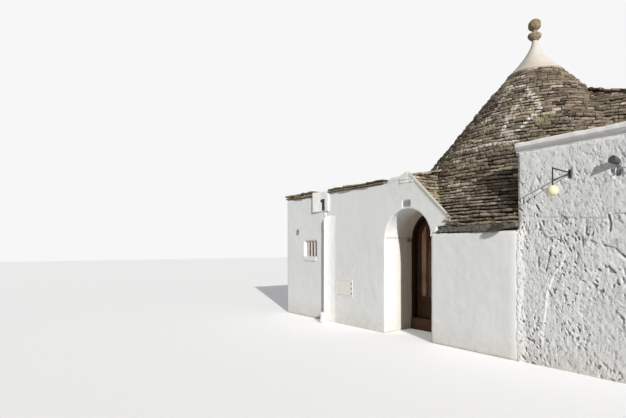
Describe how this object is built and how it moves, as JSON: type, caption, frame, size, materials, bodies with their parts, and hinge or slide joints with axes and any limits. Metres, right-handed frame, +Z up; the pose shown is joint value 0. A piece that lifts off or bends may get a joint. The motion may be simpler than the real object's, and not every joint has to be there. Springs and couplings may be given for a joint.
{
  "type": "trullo house",
  "caption": "Whitewashed stone house with an arched doorway under a small gable and a tall corbelled cone roof of limestone slabs with a plastered pinnacle.",
  "frame": {"origin": "on the ground under the tip of the cone, at the level of the street in front of the doorway", "axes": "+X to the right along the street front, +Y to the back, +Z up"},
  "size_m": [8.52, 7.123, 6.74],
  "materials": {
    "plaster": "matte",
    "whitewash": "matte",
    "roof_slabs": "matte",
    "old_stone": "matte",
    "timber": "satin",
    "pane": "gloss",
    "iron": "matte",
    "grey_metal": "satin",
    "white_metal": "matte",
    "white_wood": "matte",
    "globe_glass": "satin"
  },
  "bodies": {
    "house": {"floor_slab": "old_stone", "threshold_step": "old_stone", "front_wall_left": "plaster", "front_wall_right": "plaster", "over_door_wall": "plaster", "gable_cap": "whitewash", "dormer_roof": "roof_slabs", "left_bay_wall": "plaster", "left_party_wall": "plaster", "alcove_arch": "whitewash", "back_wall": "plaster", "right_front_wall": "whitewash", "right_party_wall": "plaster", "corner_pier": "whitewash", "pier_foot_stone": "whitewash", "spout_block": "whitewash", "left_coping": "roof_slabs", "bay_coping": "roof_slabs", "party_coping": "roof_slabs", "back_coping": "roof_slabs", "right_coping": "whitewash", "left_roof_deck": "old_stone", "cone_roof": "roof_slabs", "front_eave": "old_stone", "saddle_roof": "roof_slabs", "pinnacle_skirt": "whitewash", "pinnacle_dish": "old_stone", "pinnacle_ball": "old_stone", "door_frame": "timber", "door_hinges": "iron", "window_frame": "white_wood", "window_pane": "pane", "vent_grille": "grey_metal", "cabinet_box": "grey_metal", "lamp_bracket": "iron", "lamp_globe": "globe_glass", "wall_spotlight": "iron", "porch_light": "grey_metal"},
    "left_leaf": {"door_leaf_left": "timber", "door_glass_left": "pane"},
    "right_leaf": {"door_leaf_right": "timber", "door_glass_right": "pane", "door_handle": "iron"},
    "meter_door": {"cabinet_door": "white_metal"}
  },
  "joints": [
    {"name": "left_leaf_hinge", "type": "hinge", "parent": "house", "child": "left_leaf", "pos_m": [-1.471, -2.105, 1.2], "axis": [0, 0, 1], "range_deg": [0, 90]},
    {"name": "right_leaf_hinge", "type": "hinge", "parent": "house", "child": "right_leaf", "pos_m": [-0.509, -2.105, 1.2], "axis": [0, 0, -1], "range_deg": [0, 90]},
    {"name": "meter_door_hinge", "type": "hinge", "parent": "house", "child": "meter_door", "pos_m": [-2.544, -3.106, 0.83], "axis": [0, 0, 1], "range_deg": [0, 100]}
  ]
}
